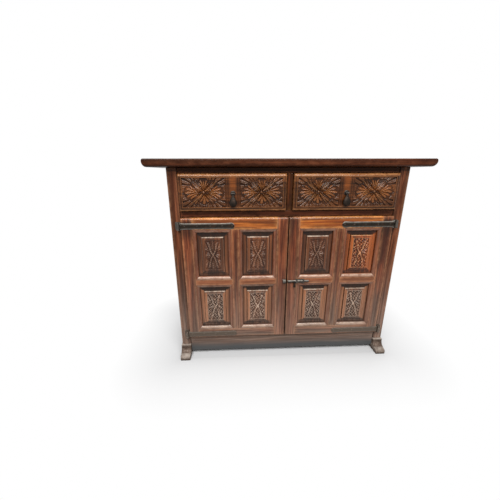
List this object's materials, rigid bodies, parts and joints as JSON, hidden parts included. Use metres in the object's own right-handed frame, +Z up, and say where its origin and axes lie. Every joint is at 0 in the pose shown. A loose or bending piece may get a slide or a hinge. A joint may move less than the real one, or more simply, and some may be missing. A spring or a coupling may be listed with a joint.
{
  "type": "credenza",
  "caption": "Walnut credenza with carved drawers over carved panelled doors, forged strap hinges, drop pulls, a slide bolt and shoe feet.",
  "frame": {"origin": "middle of the overall footprint, on the floor", "axes": "+X to the right seen from the front, +Y towards the back, +Z up"},
  "size_m": [1.154, 0.43, 0.9193],
  "materials": {
    "walnut": "dark waxed walnut, worn pale on the arrises",
    "worn_walnut": "waxed walnut rubbed to an orange brown",
    "inner_wood": "plain unpolished board",
    "forged_iron": "blackened forged iron, dull with bright worn edges"
  },
  "bodies": {
    "case": {"top_board": "walnut", "top_rail": "walnut", "middle_rail": "walnut", "bottom_rail": "walnut", "drawer_divider": "worn_walnut", "dust_board": "inner_wood", "bottom_board": "inner_wood", "shelf": "inner_wood", "back_panel": "inner_wood", "left_front_stile": "walnut", "left_side_board": "walnut", "left_foot": "walnut", "left_upper_hinge_plate": "forged_iron", "left_lower_hinge_plate": "forged_iron", "right_front_stile": "walnut", "right_side_board": "walnut", "right_foot": "walnut", "right_upper_hinge_plate": "forged_iron", "right_lower_hinge_plate": "forged_iron"},
    "left_drawer": {"left_drawer_front": "worn_walnut", "left_drawer_inner_side": "inner_wood", "left_drawer_outer_side": "inner_wood", "left_drawer_back": "inner_wood", "left_drawer_bottom": "inner_wood", "left_pull_plate": "forged_iron"},
    "left_pull": {"left_pull_drop": "forged_iron"},
    "left_door": {"left_door_hinge_stile": "walnut", "left_door_meeting_stile": "walnut", "left_door_top_rail": "worn_walnut", "left_door_mid_rail": "worn_walnut", "left_door_bottom_rail": "walnut", "left_door_muntin": "walnut", "left_door_upper_hinge_panel": "walnut", "left_door_upper_meeting_panel": "walnut", "left_door_lower_hinge_panel": "walnut", "left_door_lower_meeting_panel": "walnut", "left_upper_strap": "forged_iron", "left_lower_strap": "forged_iron", "latch_keeper": "forged_iron"},
    "right_drawer": {"right_drawer_front": "worn_walnut", "right_drawer_inner_side": "inner_wood", "right_drawer_outer_side": "inner_wood", "right_drawer_back": "inner_wood", "right_drawer_bottom": "inner_wood", "right_pull_plate": "forged_iron"},
    "right_pull": {"right_pull_drop": "forged_iron"},
    "right_door": {"right_door_hinge_stile": "walnut", "right_door_meeting_stile": "walnut", "right_door_top_rail": "worn_walnut", "right_door_mid_rail": "worn_walnut", "right_door_bottom_rail": "walnut", "right_door_muntin": "walnut", "right_door_upper_hinge_panel": "walnut", "right_door_upper_meeting_panel": "walnut", "right_door_lower_hinge_panel": "walnut", "right_door_lower_meeting_panel": "walnut", "right_upper_strap": "forged_iron", "right_lower_strap": "forged_iron", "latch_plate": "forged_iron"},
    "bolt": {"latch_bolt": "forged_iron"}
  },
  "joints": [
    {"name": "left_drawer_slide", "type": "slide", "parent": "case", "child": "left_drawer", "axis": [0, -1, 0], "range_m": [0, 0.26]},
    {"name": "left_pull_swing", "type": "hinge", "parent": "left_drawer", "child": "left_pull", "pos_m": [-0.23525, -0.194, 0.7865], "axis": [-1, 0, 0], "range_deg": [0, 85]},
    {"name": "left_door_hinge", "type": "hinge", "parent": "case", "child": "left_door", "pos_m": [-0.468, -0.188, 0.4], "axis": [0, 0, -1], "range_deg": [0, 110]},
    {"name": "right_drawer_slide", "type": "slide", "parent": "case", "child": "right_drawer", "axis": [0, -1, 0], "range_m": [0, 0.26]},
    {"name": "right_pull_swing", "type": "hinge", "parent": "right_drawer", "child": "right_pull", "pos_m": [0.23525, -0.194, 0.7865], "axis": [-1, 0, 0], "range_deg": [0, 85]},
    {"name": "right_door_hinge", "type": "hinge", "parent": "case", "child": "right_door", "pos_m": [0.468, -0.188, 0.4], "axis": [0, 0, 1], "range_deg": [0, 110]},
    {"name": "bolt_slide", "type": "slide", "parent": "right_door", "child": "bolt", "axis": [-1, 0, 0], "range_m": [0, 0.018]}
  ]
}
